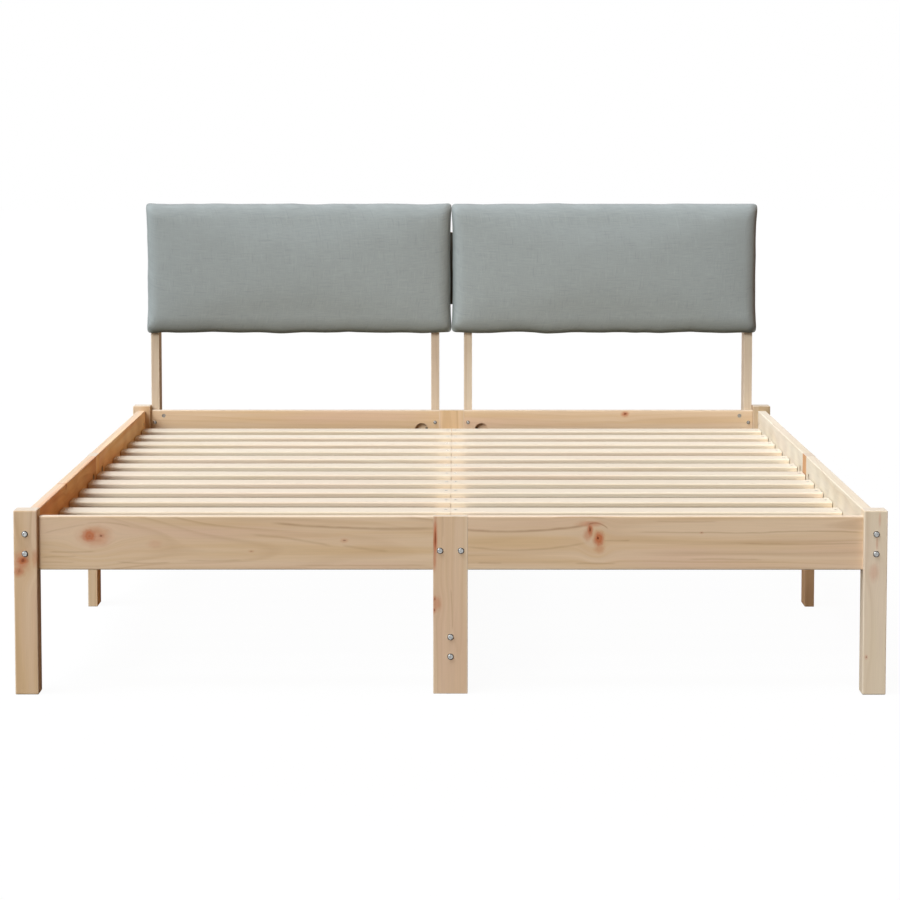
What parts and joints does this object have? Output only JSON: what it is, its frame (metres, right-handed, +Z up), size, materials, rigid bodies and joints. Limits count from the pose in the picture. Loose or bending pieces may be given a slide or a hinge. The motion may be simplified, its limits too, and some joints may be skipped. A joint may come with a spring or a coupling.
{
  "type": "bed frame with headboard",
  "caption": "Low pine double bed frame with a slatted base, square corner legs, flush board legs at mid-span and a headboard of grey fabric pads on slim posts.",
  "frame": {"origin": "on the floor under the middle of the whole bed's box", "axes": "+X to the sleeper's left side seen from the foot (right in the picture), +Y from the foot to the head, +Z up"},
  "size_m": [1.664, 2.1374, 0.884],
  "materials": {
    "pine_frame": "planed, unvarnished",
    "pine_slats": "planed, unvarnished",
    "panel_board": "raw board",
    "pad_cover": "linen-look weave",
    "zinc_steel": "zinc plated"
  },
  "bodies": {
    "root": {"front_left_leg": "pine_frame", "front_left_rail": "pine_frame", "front_right_leg": "pine_frame", "front_right_rail": "pine_frame", "rear_left_leg": "pine_frame", "rear_left_rail": "pine_frame", "rear_right_leg": "pine_frame", "rear_right_rail": "pine_frame", "left_middle_leg": "pine_frame", "left_front_side_rail": "pine_frame", "left_front_ledger": "pine_frame", "left_rear_side_rail": "pine_frame", "left_rear_ledger": "pine_frame", "left_inner_post": "pine_frame", "left_outer_post": "pine_frame", "right_middle_leg": "pine_frame", "right_front_side_rail": "pine_frame", "right_front_ledger": "pine_frame", "right_rear_side_rail": "pine_frame", "right_rear_ledger": "pine_frame", "right_inner_post": "pine_frame", "right_outer_post": "pine_frame", "front_centre_leg": "pine_frame", "front_centre_beam": "pine_frame", "front_stretcher": "pine_frame", "rear_centre_leg": "pine_frame", "rear_centre_beam": "pine_frame", "rear_stretcher": "pine_frame", "middle_centre_leg": "pine_frame", "slat_row_01": "pine_slats", "slat_row_02": "pine_slats", "slat_row_03": "pine_slats", "slat_row_04": "pine_slats", "slat_row_05": "pine_slats", "slat_row_06": "pine_slats", "slat_row_07": "pine_slats", "slat_row_08": "pine_slats", "slat_row_09": "pine_slats", "slat_row_10": "pine_slats", "slat_row_11": "pine_slats", "slat_row_12": "pine_slats", "slat_row_13": "pine_slats", "left_pad_board": "panel_board", "right_pad_board": "panel_board", "joining_board": "panel_board", "left_pad": "pad_cover", "right_pad": "pad_cover", "side_rail_bolts": "zinc_steel", "end_rail_bolts": "zinc_steel", "centre_leg_bolts": "zinc_steel", "centre_studs": "zinc_steel", "barrel_nuts": "zinc_steel", "rail_joint_rods": "zinc_steel", "rail_joint_nuts": "zinc_steel", "slat_screws": "zinc_steel", "ledger_screws": "zinc_steel", "post_screws": "zinc_steel", "pad_bolts": "zinc_steel", "joining_board_screws": "zinc_steel"}
  },
  "joints": []
}
